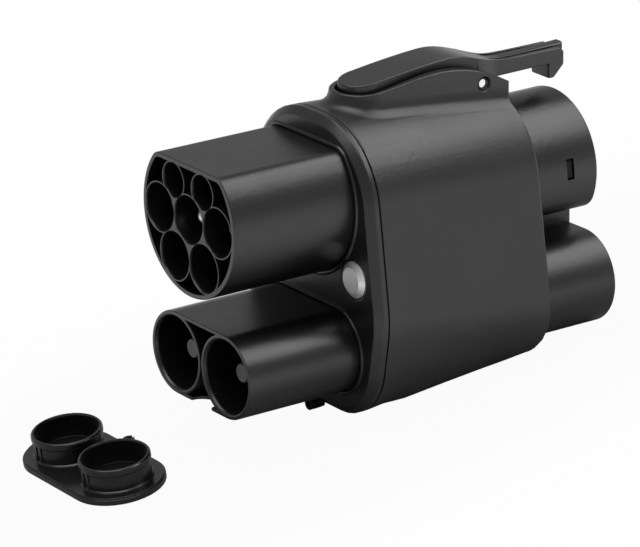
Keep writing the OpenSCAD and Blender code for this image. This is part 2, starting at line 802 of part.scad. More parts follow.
// Rear plug: round barrel, lower housing, web and the flange behind the rear wall
module rear_plug_shell() {
    color("#202022") at_rest() difference() {
        union() {
            slab(rear_flange_y + eps, plug_end) {
                plug_outline(0);
                low_outline(0);
                translate([-web_w / 2, -low_drop]) square([web_w, low_drop - plug_drop]);
            }
            slab(rear_flange_y, rear_wall_y) field(housing_end, wall + 2 * flange_gap);
        }
        slab(rear_flange_y - 1, plug_end + 1) {
            plug_outline(-plug_wall);
            low_outline(-plug_wall);
        }
        for (side = [-1, 1]) translate([side * plug_r, plug_end - window_back - window_len / 2, -plug_drop + 3])
            cube([8, window_len, window_h], center = true);
        for (at = rear_screw_at) bar(at, rear_flange_y - 1, rear_wall_y + 1, screw_r + 0.3);
    }
}

module rear_screws() {
    color("#9a9da0") at_rest() for (at = rear_screw_at) pan_screw(at, rear_flange_y, flange_t + 1.4, 1);
}

// Contact carrier in the round plug, held by a tongue in each snap window
module rear_ac_carrier() {
    tongue_recess = 0.5;
    tongue_x = plug_r - tongue_recess;
    color("#161618") at_rest() difference() {
        union() {
            slab(rear_flange_y, carrier_y) plug_outline(-plug_wall - seat_gap);
            intersection() {
                for (side = [-1, 1])
                    translate([side * (tongue_x - 2), plug_end - window_back - window_len / 2, -plug_drop + 3])
                        cube([4, window_len - 1, window_h - 1.2], center = true);
                slab(housing_end, plug_end) plug_outline(-tongue_recess);
            }
        }
        for (at = plug_line_at) {
            bar(at, rear_flange_y - 1, carrier_y - 2, power_sleeve_r + slip);
            bar(at, carrier_y - 3, carrier_y + 1, power_sleeve_bore + 0.5);
        }
        for (at = plug_signal_at) {
            bar(at, rear_flange_y - 1, carrier_y - 2, signal_sleeve_r + slip);
            bar(at, carrier_y - 3, carrier_y + 1, signal_sleeve_bore + 0.5);
        }
    }
}

// Contact carrier in the lower plug
module rear_dc_carrier() {
    color("#161618") at_rest() difference() {
        slab(rear_flange_y, carrier_y) low_outline(-plug_wall - seat_gap);
        for (side = [-1, 1]) {
            bar([side * dc_half, -low_drop], rear_flange_y - 1, carrier_y - 3.2, dc_sleeve_r + slip);
            bar([side * dc_half, -low_drop], carrier_y - 4, carrier_y + 1, dc_lip_r);
            bar([side * dc_half, -low_drop], carrier_y - 1.6, carrier_y + eps, dc_lip_r, dc_lip_r + 1.6);
        }
    }
}

// Contact sleeve with a tail that stands on the board
module sleeve(at, r, bore, tail_r) {
    difference() {
        union() {
            bar(at, rear_flange_y + 4, carrier_y - 2.1, r);
            bar(at, board_y + board_t, rear_flange_y + 4, tail_r);
        }
        bar(at, rear_flange_y + 7, carrier_y, bore);
    }
}

module rear_power_contacts() {
    color("#c9c6bd") at_rest() for (at = plug_line_at) sleeve(at, power_sleeve_r, power_sleeve_bore, 1.6);
}

module rear_signal_contacts() {
    color("#c9c6bd") at_rest() for (at = plug_signal_at) sleeve(at, signal_sleeve_r, signal_sleeve_bore, 1);
}

// Shape of the lever's top, seen from the side
hump_y = 93;
arm_y = 119;
pad_rise_power = 1.4;
pad_front_y = pad_y - pad_half;

function lever_top(y) =
    y < hump_y
        ? hump_top - (hump_top - pad_top) * pow((hump_y - y) / (hump_y - pad_front_y - 2), pad_rise_power)
    : y < arm_y ? arm_top + (hump_top - arm_top) * (1 + cos(180 * (y - hump_y) / (arm_y - hump_y))) / 2
    : arm_top;

neck_start = 104;
neck_end = 115;
hook_len = 5.7;
hook_out = 0.5;
hub_r = 2.7;

// Half width of the lever
function lever_half(y) =
    y < neck_start ? pad_half
    : y < neck_end ? arm_half + (pad_half - arm_half) * (1 + cos(180 * (y - neck_start) / (neck_end - neck_start))) / 2
    : arm_half;

// Press-down lever: pad, hump and a channelled arm with its hook and a rib along the channel
module latch_lever() {
    step = 1.5;
    pad_bottom = pad_top - 3.1;
    arm_bottom = arm_top - arm_t;
    hook_y = arm_end - hook_len;
    channel_half = arm_half - 1.2;
    rib_half = 1.8;
    channel_t = 0.9;
    seat_top = 3.2;
    outline = concat(
        [for (y = [pad_y:step:neck_end]) [lever_half(y), y]],
        [[arm_half, arm_end + hook_out], [-arm_half, arm_end + hook_out]],
        [for (y = [neck_end:-step:pad_y]) [-lever_half(y), y]]
    );
    top = [for (y = [pad_front_y - 1:step:arm_y]) [y, lever_top(y)]];
    side = concat(top, [
        [arm_end - 1.4, arm_top], [arm_end - 0.7, arm_top - 0.3], [arm_end + hook_out, arm_top - 1.5],
        [arm_end + hook_out, arm_bottom - 1], [arm_end - 3.4, arm_bottom - hook_drop],
        [hook_y, arm_bottom - hook_drop], [hook_y, arm_bottom],
        [pivot_y + 6, arm_bottom], [pivot_y + 2, pivot_z - hub_r + 0.5],
        [pivot_y, pivot_z - hub_r], [pivot_y - 4, pivot_z - hub_r + 0.6],
        [pivot_y - 28, pad_bottom], [pad_front_y - 1, pad_bottom]
    ]);
    rib = concat(
        [for (y = [arm_y - 8:2:arm_y]) [y, lever_top(y) - 0.15]],
        [
            [arm_end + arm_tail - tail_edge, arm_top + tail_rise],
            [arm_end + arm_tail, arm_top + tail_rise - tail_edge],
            [arm_end + arm_tail, arm_top - channel_t - 1.1], [arm_y - 8, arm_top - channel_t - 1.1]
        ]
    );
    color("#242426") at_rest() difference() {
        union() {
            difference() {
                intersection() {
                    linear_extrude(hump_top + 4) {
                        polygon(outline);
                        translate([0, pad_y]) circle(pad_half);
                    }
                    rotate([90, 0, 90]) translate([0, 0, -pad_half - 1])
                        linear_extrude(2 * pad_half + 2) polygon(side);
                }
                translate([-channel_half, arm_y - 7, arm_top - channel_t])
                    cube([2 * channel_half, arm_end - arm_y + 9, 8]);
            }
            rotate([90, 0, 90]) translate([0, 0, -rib_half]) linear_extrude(2 * rib_half) polygon(rib);
        }
        pivot_hole(pivot_r + slip, pad_half + 2);
        translate([0, spring_y, pad_bottom - 1]) cylinder(h = 1 + seat_top - 1.4, r = spring_r + 1.2);
    }
}

module pivot_pin() {
    color("#d8dadc") at_rest() pivot_hole(pivot_r, tower_half(pivot_y) - 1.2);
}

spring_y = 74;
spring_r = 2.6;
spring_wire = 0.35;

// Coil spring that lifts the lever's pad
module latch_spring() {
    roof = arcs_at(spring_y)[0];
    low = roof[1] + roof[2] + slip;
    high = pad_top - 3.1 + 3.2 - 1.4 - slip;
    color("#b9bcc0") at_rest() translate([0, spring_y, low]) coil(spring_r, spring_wire, high - low, 5);
}

switch_r = 7.1;
switch_len = 15.6;
stem_r = 2;
head_back = cover_y + 2.7;
cavity_len = 6;

// Metal button with a sloping rim and a stem
module push_button() {
    at = [button_x, -button_drop];
    slope = button_r - button_face_r;
    face_y = cover_y - button_proud;
    color("#c8cacc") at_rest() {
        bar(at, face_y, face_y + slope * 0.75, button_face_r, button_r);
        bar(at, face_y + slope * 0.75, head_back, button_r);
        bar(at, head_back - eps, cover_back + cavity_len + 4, stem_r);
    }
}

// Switch body behind the cover that guides the button's stem
module button_switch() {
    at = [button_x, -button_drop];
    color("#2a2a2c") at_rest() difference() {
        bar(at, cover_back, cover_back + switch_len, switch_r);
        bar(at, cover_back - 1, cover_back + cavity_len, button_r + 0.2);
        bar(at, cover_back, cover_back + cavity_len + 4 + button_travel + 1, stem_r + slip);
    }
}

module button_spring() {
    low = head_back + slip;
    high = cover_back + cavity_len - slip;
    color("#b9bcc0") at_rest() translate([button_x, low, -button_drop]) rotate([-90, 0, 0])
        coil(3.7, 0.35, high - low, 5);
}

// Profile of one cup, from its inner floor to its flared rim
module cup_profile() {
    band = 0.35;
    band_h = 2;
    lip = 0.8;
    foot = 0.5;
    inner = cup_r - cup_wall;
    polygon([
        [inner, cap_plate_t - eps], [cup_r + foot, cap_plate_t - eps], [cup_r + foot, cap_plate_t + 0.2],
        [cup_r, cap_plate_t + foot], [cup_r, cup_h - band_h - band], [cup_r + band, cup_h - band_h],
        [cup_r + band, cup_h - 0.5], [cup_r - 0.1, cup_h], [inner + 0.3, cup_h], [inner, cup_h - lip]
    ]);
}

// Loose cap with two cups that close the high-voltage tubes, lying on the table beside the adapter
module dust_cap() {
    edge = 0.5;
    rib_w = 0.9;
    rib_gap = 1.3;
    clip_r = 1.9;
    clip_at = [-4.7, cap_plate_r + clip_r - 0.6];
    color("#1b1b1d") translate([cap_x - mid_x, cap_y - mid_y, 0]) difference() {
        union() {
            linear_extrude(cap_plate_t - edge) stadium(dc_half, cap_plate_r);
            linear_extrude(cap_plate_t) stadium(dc_half, cap_plate_r - edge);
            for (side = [-1, 1]) translate([side * dc_half, 0, 0]) {
                rotate_extrude() cup_profile();
                for (k = [-1, 1], end = [-1, 1])
                    translate([k * rib_gap - rib_w / 2, end * cup_r - 0.3, cap_plate_t - eps])
                        cube([rib_w, 0.6, cup_h - cap_plate_t - 1.8]);
            }
            translate(clip_at) cylinder(h = cap_plate_t + 0.7, r = clip_r);
        }
        translate([clip_at[0], clip_at[1], -1]) cylinder(h = cap_plate_t + 5, r = clip_r - 0.9);
        translate([clip_at[0] - 0.6, clip_at[1], cap_plate_t - 1]) cube([1.2, 3, 4]);
    }
}

main_housing();
front_cover();
cover_seal();
ac_socket();
dc_socket();
earth_pin();
line_pin();
neutral_pin();
pilot_pin();
proximity_pin();
line_pin_nose();
neutral_pin_nose();
dc_plus_pin();
dc_minus_pin();
dc_plus_nose();
dc_minus_nose();
flange_screws();
link_board();
board_screws();
rear_plug_shell();
rear_ac_carrier();
rear_dc_carrier();
rear_power_contacts();
rear_signal_contacts();
dc_plus_contact();
dc_minus_contact();
dc_plus_bar();
dc_minus_bar();
rear_screws();
latch_lever();
pivot_pin();
latch_spring();
push_button();
button_switch();
button_spring();
dust_cap();
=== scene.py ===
"""Dresses the charging adapter: rounded moulded edges, plastics, rubber, metals and a plain studio."""

import json
import logging
import math
from dataclasses import dataclass, field, replace
from enum import Enum
from typing import Callable, Sequence

import bmesh
import bpy
from mathutils import Matrix, Vector


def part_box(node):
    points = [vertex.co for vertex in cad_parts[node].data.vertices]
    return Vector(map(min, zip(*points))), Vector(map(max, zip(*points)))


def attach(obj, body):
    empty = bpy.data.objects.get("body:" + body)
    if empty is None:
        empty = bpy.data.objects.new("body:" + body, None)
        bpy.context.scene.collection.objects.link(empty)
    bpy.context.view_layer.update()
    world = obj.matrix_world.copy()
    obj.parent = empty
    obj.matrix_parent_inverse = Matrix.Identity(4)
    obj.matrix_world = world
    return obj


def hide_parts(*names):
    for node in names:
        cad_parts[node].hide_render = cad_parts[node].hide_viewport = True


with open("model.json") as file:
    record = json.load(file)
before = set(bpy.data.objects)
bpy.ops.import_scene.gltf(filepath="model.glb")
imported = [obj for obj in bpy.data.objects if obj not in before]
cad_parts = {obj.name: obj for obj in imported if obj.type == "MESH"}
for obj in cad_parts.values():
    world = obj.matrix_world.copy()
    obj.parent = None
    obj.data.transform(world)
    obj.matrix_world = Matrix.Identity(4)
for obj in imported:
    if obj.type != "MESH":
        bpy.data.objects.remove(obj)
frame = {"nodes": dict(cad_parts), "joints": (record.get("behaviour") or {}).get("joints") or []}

LOG = logging.getLogger("adapter")
MM = 0.001
UNIT = (0.0, 1.0)

# Places of the two colours and of the result among a mix node's sockets
MIX_DARK = 6
MIX_LIGHT = 7
MIX_RESULT = 2


class Level(Enum):
    """How strongly an effect shows on a surface."""

    NONE = 0.0
    FAINT = 0.35


@dataclass(frozen=True)
class PlugFrame:
    """The adapter's own frame: X across, Y from the front mouth to the rear, Z up, in millimetres.

    The adapter lies nose up on the table, so its frame is turned about X. The turn is read from the
    push button's axis and the place from the lever's pivot.

    Attributes:
        pivot_y: Distance of the lever's pivot behind the mouth.
        pivot_z: Height of the lever's pivot above the earth tube.
    """

    pivot_y: float = 102.6
    pivot_z: float = 26.8

    def matrix(self) -> Matrix:
        """Transform from this frame's millimetres to the row's metres.

        Returns:
            The 4 x 4 transform.
        """
        joints = {joint["name"]: joint for joint in frame["joints"]}
        along = Vector(joints["button_press"]["axis"])
        turn = Matrix.Rotation(math.atan2(along.z, along.y), 4, "X")
        pivot = Vector(joints["latch_hinge"]["pos_m"])
        at = pivot - turn @ Vector((0, self.pivot_y * MM, self.pivot_z * MM))
        return Matrix.Translation(at) @ turn @ Matrix.Scale(MM, 4)


class Sheet:
    """A node tree being drawn: adds nodes and joins their sockets."""

    def __init__(self, tree: bpy.types.NodeTree) -> None:
        """Starts drawing in a tree.

        Args:
            tree: The material's, world's or group's node tree.
        """
        self.tree = tree

    def add(self, kind: str, values: dict[str, object] | None = None, **settings: object) -> bpy.types.Node:
        """Adds a node.

        Args:
            kind: Blender's node type.
            values: Plain values or output sockets for named inputs.
            **settings: Properties of the node.

        Returns:
            The new node.
        """
        node = self.tree.nodes.new(kind)
        for name, value in settings.items():
            setattr(node, name, value)
        for name, value in (values or {}).items():
            self.feed(node.inputs[name], value)
        return node

    def feed(self, socket: bpy.types.NodeSocket, value: object) -> None:
        """Gives an input a plain value, or joins it to an output."""
        if isinstance(value, bpy.types.NodeSocket):
            self.tree.links.new(value, socket)
        else:
            socket.default_value = value

    def calc(self, operation: str, a: object, b: object = 0.0, clamp: bool = False) -> bpy.types.NodeSocket:
        """Adds a math node.

        Args:
            operation: Blender's name of the operation.
            a: First operand, a number or a socket.
            b: Second operand.
            clamp: Whether the result stays between 0 and 1.

        Returns:
            The result's socket.
        """
        node = self.add("ShaderNodeMath", operation=operation, use_clamp=clamp)
        self.feed(node.inputs[0], a)
        self.feed(node.inputs[1], b)
        return node.outputs[0]

    def length(self, a: bpy.types.NodeSocket, b: bpy.types.NodeSocket) -> bpy.types.NodeSocket:
        """Length of the line that goes a one way and b square to it."""
        squares = self.calc("ADD", self.calc("MULTIPLY", a, a), self.calc("MULTIPLY", b, b))
        return self.calc("SQRT", squares)

    def ramp(
        self, value: object, span: tuple[float, float], result: tuple[float, float] = UNIT
    ) -> bpy.types.NodeSocket:
        """Maps a value from one range to another, held at its ends.

        Args:
            value: The value's socket.
            span: Start and end of the value's range.
            result: What the start and the end become.

        Returns:
            The mapped value's socket.
        """
        values = {"Value": value, "From Min": span[0], "From Max": span[1]}
        node = self.add("ShaderNodeMapRange", values | {"To Min": result[0], "To Max": result[1]})
        return node.outputs["Result"]

    def tint(self, mask: object, dark: object, light: object) -> bpy.types.NodeSocket:
        """Mixes two colours by a mask.

        Args:
            mask: The mask's socket.
            dark: Colour where the mask is 0, as three numbers or a socket.
            light: Colour where the mask is 1, likewise.

        Returns:
            The mixed colour's socket.
        """
        node = self.add("ShaderNodeMix", data_type="RGBA")
        self.feed(node.inputs["Factor"], mask)
        for index, colour in ((MIX_DARK, dark), (MIX_LIGHT, light)):
            joined = isinstance(colour, bpy.types.NodeSocket)
            self.feed(node.inputs[index], colour if joined else (*colour, 1.0))
        return node.outputs[MIX_RESULT]

    def noise(
        self, place: object, scale: object, detail: float, roughness: float = 0.5
    ) -> bpy.types.NodeSocket:
        """Adds a noise texture.

        Args:
            place: The socket of the place that it is looked up at.
            scale: Waves in a metre, a number or a socket.
            detail: Number of finer waves laid over the first.
            roughness: How strong the finer waves are.

        Returns:
            The noise's socket.
        """
        values = {"Vector": place, "Scale": scale, "Detail": detail, "Roughness": roughness}
        return self.add("ShaderNodeTexNoise", values).outputs["Fac"]

    def axes(self, coordinates: str) -> bpy.types.NodeOutputs:
        """Splits one of Blender's texture coordinates into its X, Y and Z."""
        place = self.add("ShaderNodeTexCoord").outputs[coordinates]
        return self.add("ShaderNodeSeparateXYZ", {"Vector": place}).outputs

    def end(self, shader: bpy.types.NodeSocket, kind: str = "ShaderNodeOutputMaterial") -> None:
        """Joins the last shader to the tree's output."""
        self.add(kind, {"Surface": shader})


def blank_sheet(owner: bpy.types.Material | bpy.types.World) -> Sheet:
    """Empties the nodes of a material or world, to draw them anew."""
    owner.use_nodes = True
    owner.node_tree.nodes.clear()
    return Sheet(owner.node_tree)


@dataclass(frozen=True)
class EffectGroup:
    """Base of the shared shader effects, each built once as a node group."""

    name: str

    def build(self) -> bpy.types.NodeTree:
        """Finds the effect's group, or draws it the first time.

        Returns:
            The node group.
        """
        tree = bpy.data.node_groups.get(self.name)
        if tree is None:
            tree = bpy.data.node_groups.new(self.name, "ShaderNodeTree")
            self.draw(tree)
        return tree

    def draw(self, tree: bpy.types.NodeTree) -> None:
        """Draws the effect's sockets and nodes."""
        raise NotImplementedError

    def sockets(
        self, tree: bpy.types.NodeTree, inputs: dict[str, float], outputs: Sequence[str]
    ) -> tuple[bpy.types.Node, bpy.types.Node]:
        """Makes the group's named inputs and outputs.

        Args:
            tree: The group's tree.
            inputs: Each input's name and first value.
            outputs: The outputs' names.

        Returns:
            The group's input and output nodes.
        """
        for name, value in inputs.items():
            socket = tree.interface.new_socket(name, in_out="INPUT", socket_type="NodeSocketFloat")
            socket.default_value = value
        for name in outputs:
            tree.interface.new_socket(name, in_out="OUTPUT", socket_type="NodeSocketFloat")
        return tree.nodes.new("NodeGroupInput"), tree.nodes.new("NodeGroupOutput")

    def place(self, sheet: Sheet, **values: float) -> bpy.types.NodeOutputs:
        """Places the effect in a material.

        Args:
            sheet: The material's sheet.
            **values: Values of the group's inputs, with _ for a space.

        Returns:
            The effect's output sockets.
        """
        node = sheet.add("ShaderNodeGroup", node_tree=self.build())
        for name, value in values.items():
            sheet.feed(node.inputs[name.replace("_", " ")], value)
        return node.outputs


@dataclass(frozen=True)
class MouldGrain(EffectGroup):
    """Fine spark-eroded grain of a moulded surface, with a slow unevenness under it.

    Attributes:
        name: Name of the node group.
        fine_noise: Detail and roughness of the fine grain.
        speckle_range: Values of the fine grain that become 0 and 1 in the speckle.
        coarse_share: Cells of the coarse grain for each one of the fine grain.
        drift_per_metre: Waves of the slow unevenness in a metre.
        drift_noise: Detail and roughness of the slow unevenness.
        drift_range: Values of the slow unevenness that become 0 and 1 in the drift.
    """

    name: str = "mould_grain"
    fine_noise: tuple[float, float] = (2.0, 0.6)
    speckle_range: tuple[float, float] = (0.35, 0.7)
    coarse_share: float = 0.35
    drift_per_metre: float = 45.0
    drift_noise: tuple[float, float] = (3.0, 0.55)
    drift_range: tuple[float, float] = (0.35, 0.68)

    def draw(self, tree: bpy.types.NodeTree) -> None:
        """Draws two sizes of grain and a slow wave over the object's own place."""
        sheet = Sheet(tree)
        source, result = self.sockets(tree, {"Cells per mm": 3.0}, ("Height", "Speckle", "Drift"))
        place = sheet.add("ShaderNodeTexCoord").outputs["Object"]
        scale = sheet.calc("MULTIPLY", source.outputs["Cells per mm"], 1.0 / MM)
        fine = sheet.noise(place, scale, *self.fine_noise)
        coarse = sheet.calc("MULTIPLY", scale, self.coarse_share)
        cells = sheet.add("ShaderNodeTexVoronoi", {"Vector": place, "Scale": coarse}, feature="SMOOTH_F1")
        slow = sheet.noise(place, self.drift_per_metre, *self.drift_noise)
        sheet.feed(result.inputs["Height"], sheet.calc("ADD", fine, cells.outputs["Distance"]))
        sheet.feed(result.inputs["Speckle"], sheet.ramp(fine, self.speckle_range))
        sheet.feed(result.inputs["Drift"], sheet.ramp(slow, self.drift_range))


@dataclass(frozen=True)
class EdgeRub(EffectGroup):
    """Slight polish along convex edges, where hands and other parts touch.

    Attributes:
        name: Name of the node group.
        edge_range: Pointiness that becomes 0 and 1 in the mask.
        spots_per_metre: Waves of the noise that breaks the mask up, in a metre.
        spot_detail: Number of finer waves in that noise.
        spot_range: Values of the noise at its weakest and strongest spots.
        spot_strength: What is left of the mask at those spots.
    """

    name: str = "edge_rub"
    edge_range: tuple[float, float] = (0.505, 0.56)
    spots_per_metre: float = 420.0
    spot_detail: float = 4.0
    spot_range: tuple[float, float] = (0.3, 0.6)
    spot_strength: tuple[float, float] = (0.45, 1.0)

    def draw(self, tree: bpy.types.NodeTree) -> None:
        """Draws a mask from the surface's pointiness, broken up by noise."""
        sheet = Sheet(tree)
        source, result = self.sockets(tree, {"Amount": 1.0}, ("Mask",))
        pointed = sheet.add("ShaderNodeNewGeometry").outputs["Pointiness"]
        place = sheet.add("ShaderNodeTexCoord").outputs["Object"]
        broken = sheet.noise(place, self.spots_per_metre, self.spot_detail)
        spots = sheet.ramp(broken, self.spot_range, self.spot_strength)
        mask = sheet.calc("MULTIPLY", sheet.ramp(pointed, self.edge_range), spots)
        weighed = sheet.calc("MULTIPLY", mask, source.outputs["Amount"], clamp=True)
        sheet.feed(result.inputs["Mask"], weighed)


@dataclass(frozen=True)
class TurnedRings(EffectGroup):
    """Fine circular tool marks about a line that runs along Y.

    Attributes:
        name: Name of the node group.
        marks_per_metre: Waves in a metre of the noise that makes the rings uneven.
        mark_detail: Number of finer waves in that noise.
    """

    name: str = "turned_rings"
    marks_per_metre: float = 5000.0
    mark_detail: float = 3.0

    def draw(self, tree: bpy.types.NodeTree) -> None:
        """Draws rings about a centre given in metres."""
        sheet = Sheet(tree)
        inputs = {"Centre X": 0.0, "Centre Z": 0.0, "Lines per mm": 8.0}
        source, result = self.sockets(tree, inputs, ("Height", "Mask"))
        axes = sheet.axes("Object")
        across = sheet.calc("SUBTRACT", axes["X"], source.outputs["Centre X"])
        up = sheet.calc("SUBTRACT", axes["Z"], source.outputs["Centre Z"])
        radius = sheet.length(across, up)
        per_metre = sheet.calc("MULTIPLY", source.outputs["Lines per mm"], math.tau / MM)
        wave = sheet.calc("SINE", sheet.calc("MULTIPLY", radius, per_metre))
        values = {"Scale": 1.0, "Detail": self.mark_detail}
        values["W"] = sheet.calc("MULTIPLY", radius, self.marks_per_metre)
        uneven = sheet.add("ShaderNodeTexNoise", values, noise_dimensions="1D").outputs["Fac"]
        sheet.feed(result.inputs["Height"], sheet.calc("MULTIPLY", wave, uneven))
        sheet.feed(result.inputs["Mask"], uneven)


GRAIN = MouldGrain()
RUB = EdgeRub()
RINGS = TurnedRings()


@dataclass(frozen=True)
class Finish:
    """A surface finish: its name and its plain shader values."""

    name: str
    colour: tuple[float, float, float]
    roughness: float

    def material(self) -> bpy.types.Material:
        """Finds the finish's material, or draws it the first time.

        Returns:
            The material.
        """
        found = bpy.data.materials.get(self.name)
        if found is not None:
            return found
        made = bpy.data.materials.new(self.name)
        made.diffuse_color = (*self.colour, 1.0)
        sheet = blank_sheet(made)
        values = {"Base Color": (*self.colour, 1.0), "Roughness": self.roughness}
        shader = sheet.add("ShaderNodeBsdfPrincipled", values)
        sheet.end(shader.outputs["BSDF"])
        self.draw(sheet, shader)
        return made

    def draw(self, sheet: Sheet, shader: bpy.types.Node) -> None:
        """Draws what is special to the finish."""
        raise NotImplementedError

    def shade(self, factor: float) -> tuple[float, float, float]:
        """The finish's colour made lighter or darker."""
        return tuple(min(1.0, channel * factor) for channel in self.colour)

    def emboss(
        self, sheet: Sheet, shader: bpy.types.Node, relief: bpy.types.NodeSocket, height: float
    ) -> None:
        """Presses a fine relief into the surface.

        Args:
            sheet: The material's sheet.
            shader: Its principled shader.
            relief: The relief's socket.
            height: Height of the relief where its value is 1, in millimetres.
        """
        bump = sheet.add("ShaderNodeBump", {"Strength": 1.0, "Distance": height * MM, "Height": relief})
        sheet.feed(shader.inputs["Normal"], bump.outputs["Normal"])


@dataclass(frozen=True)
class MouldedPlastic(Finish):
    """Moulded plastic with grain, a slow drift in its gloss and faintly polished edges.

    Attributes:
        cells_per_mm: Fineness of the grain.
        grain_height: Height of the grain, in millimetres.
        gloss_swing: How far the roughness drifts up and down.
        specular: Strength of the plain reflection, where 0.5 is usual.
        rubbed: How strongly the edges are polished.
        speckle: Darkest and lightest shade of the grain.
        rub_shade: Shade of a fully polished edge.
        rub_polish: How much roughness a fully polished edge loses.
    """

    cells_per_mm: float = 3.0
    grain_height: float = 0.02
    gloss_swing: float = 0.025
    specular: float = 0.70
    rubbed: Level = Level.FAINT
    speckle: tuple[float, float] = (0.86, 1.14)
    rub_shade: float = 3.0
    rub_polish: float = 0.08

    def draw(self, sheet: Sheet, shader: bpy.types.Node) -> None:
        """Draws grain, gloss and edges.

        Args:
            sheet: The material's sheet.
            shader: Its principled shader.
        """
        grain = GRAIN.place(sheet, Cells_per_mm=self.cells_per_mm)
        rubbed = RUB.place(sheet, Amount=self.rubbed.value)["Mask"]
        dark, light = (self.shade(factor) for factor in self.speckle)
        speckled = sheet.tint(grain["Speckle"], dark, light)
        sheet.feed(shader.inputs["Base Color"], sheet.tint(rubbed, speckled, self.shade(self.rub_shade)))
        swing = (self.roughness - self.gloss_swing, self.roughness + self.gloss_swing)
        uneven = sheet.ramp(grain["Drift"], UNIT, swing)
        polish = sheet.calc("MULTIPLY", rubbed, self.rub_polish)
        sheet.feed(shader.inputs["Roughness"], sheet.calc("SUBTRACT", uneven, polish, clamp=True))
        self.emboss(sheet, shader, grain["Height"], self.grain_height)
        shader.inputs["Specular IOR Level"].default_value = self.specular


@dataclass(frozen=True)
class SoftRubber(MouldedPlastic):
    """Soft moulded rubber with a dry sheen."""

    sheen: float = 0.03
    sheen_roughness: float = 0.5

    def draw(self, sheet: Sheet, shader: bpy.types.Node) -> None:
        """Draws the moulded surface and adds the sheen."""
        super().draw(sheet, shader)
        shader.inputs["Sheen Weight"].default_value = self.sheen
        shader.inputs["Sheen Roughness"].default_value = self.sheen_roughness


@dataclass(frozen=True)
class BareMetal(Finish):
    """Plated or drawn metal with fine marks and a slow tarnish.

    Attributes:
        tarnish: Colour of the tarnish.
        mark_height: Height of the marks, in millimetres.
        marks_per_mm: Fineness of the marks.
        stain: How much of the tarnish shows where it is strongest.
        gloss_span: Least and greatest roughness, as shares of the plain one.
    """

    tarnish: tuple[float, float, float] = (0.45, 0.43, 0.38)
    mark_height: float = 0.004
    marks_per_mm: float = 6.0
    stain: float = 0.35
    gloss_span: tuple[float, float] = (0.8, 1.35)

    def draw(self, sheet: Sheet, shader: bpy.types.Node) -> None:
        """Draws tarnish in the colour and fine marks in the normal.

        Args:
            sheet: The material's sheet.
            shader: Its principled shader.
        """
        grain = GRAIN.place(sheet, Cells_per_mm=self.marks_per_mm)
        stained = sheet.calc("MULTIPLY", grain["Drift"], self.stain)
        sheet.feed(shader.inputs["Base Color"], sheet.tint(stained, self.colour, self.tarnish))
        low, high = (self.roughness * share for share in self.gloss_span)
        sheet.feed(shader.inputs["Roughness"], sheet.ramp(grain["Drift"], UNIT, (low, high)))
        self.emboss(sheet, shader, grain["Height"], self.mark_height)
        shader.inputs["Metallic"].default_value = 1.0


@dataclass(frozen=True)
class TurnedMetal(Finish):
    """Metal face with circular tool marks about its own centre.

    Attributes:
        centre: X and Z of the centre in the row frame, in metres.
        lines_per_mm: Fineness of the rings.
        line_height: Height of the rings, in millimetres.
        metallic: How metallic the face is, kept under 1 so that its tone stays even.
        anisotropic: How far the rings stretch a highlight.
        ring_shades: Darkest and lightest shade of the rings.
        ring_range: Values of the rings where the roughness is least and greatest.
        gloss_span: Least and greatest roughness, as shares of the plain one.
    """

    centre: tuple[float, float] = (0.0, 0.0)
    lines_per_mm: float = 7.0
    line_height: float = 0.0006
    metallic: float = 0.7
    anisotropic: float = 0.3
    ring_shades: tuple[float, float] = (0.93, 1.05)
    ring_range: tuple[float, float] = (0.3, 0.7)
    gloss_span: tuple[float, float] = (0.8, 1.25)

    def draw(self, sheet: Sheet, shader: bpy.types.Node) -> None:
        """Draws the rings in colour, roughness and normal.

        Args:
            sheet: The material's sheet.
            shader: Its principled shader.
        """
        x, z = self.centre
        rings = RINGS.place(sheet, Centre_X=x, Centre_Z=z, Lines_per_mm=self.lines_per_mm)
        dark, light = (self.shade(factor) for factor in self.ring_shades)
        sheet.feed(shader.inputs["Base Color"], sheet.tint(rings["Mask"], dark, light))
        low, high = (self.roughness * share for share in self.gloss_span)
        sheet.feed(shader.inputs["Roughness"], sheet.ramp(rings["Mask"], self.ring_range, (low, high)))
        self.emboss(sheet, shader, rings["Height"], self.line_height)
        shader.inputs["Metallic"].default_value = self.metallic
        shader.inputs["Anisotropic"].default_value = self.anisotropic


SATIN_BLACK = (0.0058, 0.0059, 0.0062)
DEEP_BLACK = (0.0045, 0.0045, 0.0048)
SOCKET_BLACK = (0.0042, 0.0042, 0.0045)

HOUSING = MouldedPlastic("moulded_housing", SATIN_BLACK, 0.38, cells_per_mm=2.5, grain_height=0.032)
LEVER = MouldedPlastic("moulded_lever", SATIN_BLACK, 0.36, cells_per_mm=2.2, grain_height=0.030)
COVER = MouldedPlastic("moulded_cover", DEEP_BLACK, 0.36, cells_per_mm=2.2, grain_height=0.024)
REAR = MouldedPlastic("moulded_rear", DEEP_BLACK, 0.34, cells_per_mm=2.2, grain_height=0.030)
SOCKET = MouldedPlastic("moulded_socket", SOCKET_BLACK, 0.32, cells_per_mm=2.2, grain_height=0.028)
# Darker and duller than the other plastics: painted shade, so that the carrier's tongue in the rear plug's
# window reads as a dark hole.
SHADED_CARRIER = MouldedPlastic("carrier_painted_shade", (0.0030, 0.0030, 0.0032), 0.55, specular=0.25, rubbed=Level.NONE)
NOSE = MouldedPlastic("moulded_nose", (0.060, 0.060, 0.063), 0.42, cells_per_mm=4.0, grain_height=0.008)
BOARD = MouldedPlastic("lacquered_board", (0.02, 0.10, 0.04), 0.35, cells_per_mm=5.0, grain_height=0.006)
CAP = SoftRubber("soft_cap", (0.0036, 0.0036, 0.0039), 0.25, cells_per_mm=2.4, grain_height=0.008)
SEAL = SoftRubber("soft_seal", (0.0040, 0.0040, 0.0040), 0.65, cells_per_mm=2.0, grain_height=0.02)
CONTACT = BareMetal("silver_plate", (0.80, 0.79, 0.76), 0.22, tarnish=(0.55, 0.50, 0.40))
